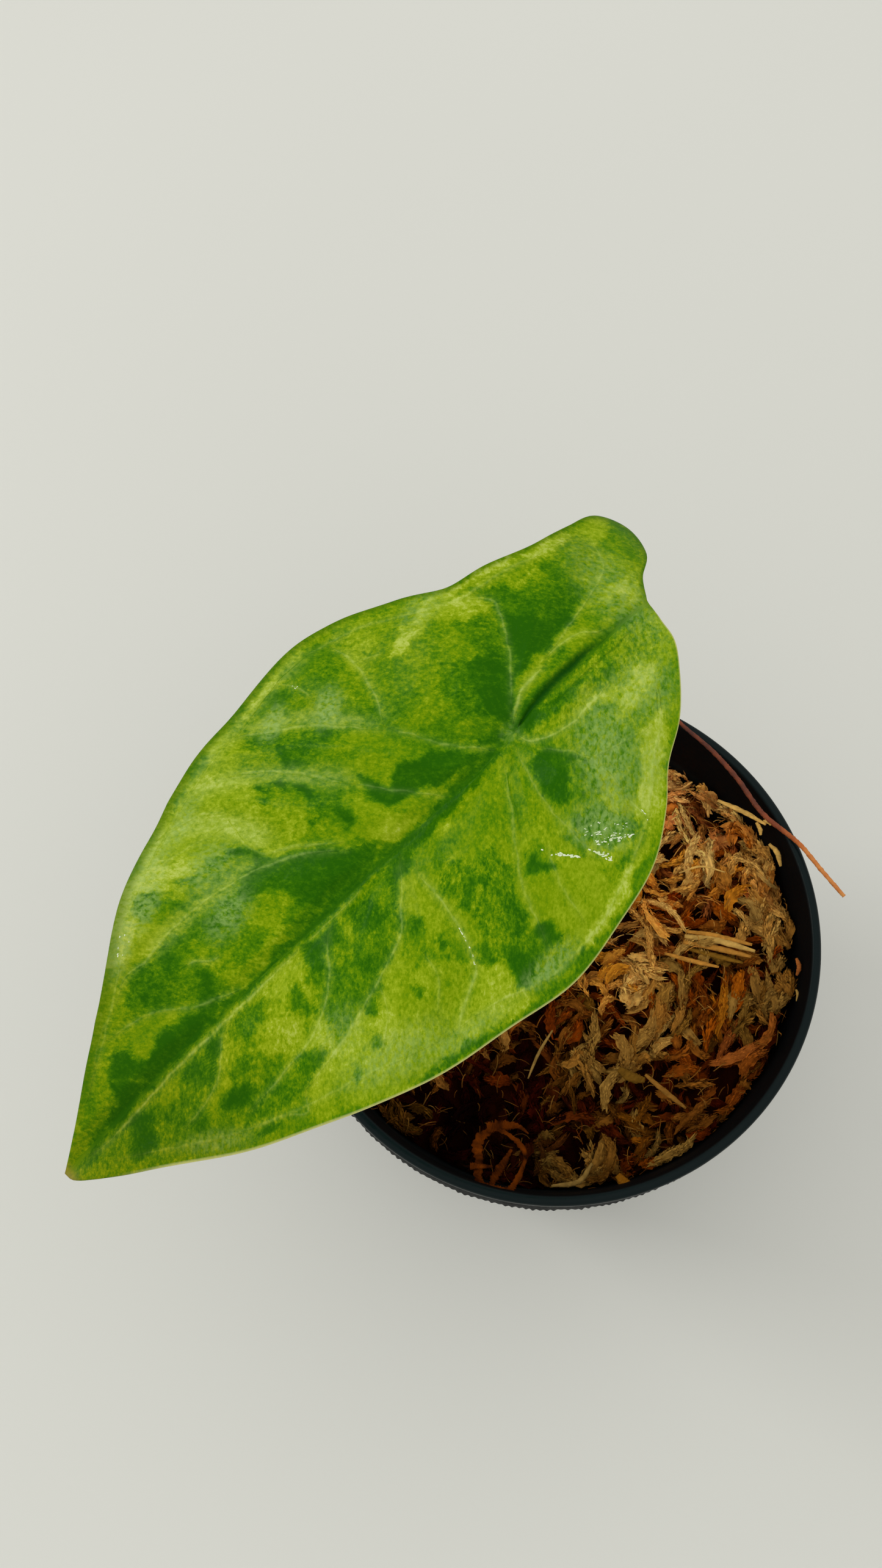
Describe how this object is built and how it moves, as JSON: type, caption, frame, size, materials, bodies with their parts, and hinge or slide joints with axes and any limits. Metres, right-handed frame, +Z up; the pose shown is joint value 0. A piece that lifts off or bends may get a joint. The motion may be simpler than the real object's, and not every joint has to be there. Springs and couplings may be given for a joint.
{
  "type": "potted alocasia scalprum",
  "caption": "Young aroid house plant: a mottled shield-shaped leaf on an upright petiole, rooted in long-fibre moss in a small black nursery pot with a ribbed rim.",
  "frame": {"origin": "middle of the pot's underside, on the flat pad that it stands on", "axes": "+Z up along the pot's axis; -Y towards the foot of the picture, which looks down on the pot; the leaf's tip points to -X and -Y"},
  "size_m": [0.1053, 0.0816, 0.1488],
  "materials": {
    "pot_plastic": "blue-black moulded plastic, satin on the rim's lip, with fine upright ribs on its skirt",
    "moss": "dry long-fibre moss, matt and fuzzy, straw and tan to orange and dark brown",
    "corm": "rough brown corm skin with paler roots",
    "petiole": "smooth waxy green stem, slightly streaked, paler at its sheathing base",
    "leaf": "glossy blade, mottled deep green and lime along the side veins, with a thin pale margin",
    "fibre": "dry red-brown plant fibre, matt"
  },
  "bodies": {
    "root": {"pot": "pot_plastic", "moss": "moss", "corm": "corm", "petiole": "petiole", "leaf_blade": "leaf", "fibre": "fibre"}
  },
  "joints": []
}
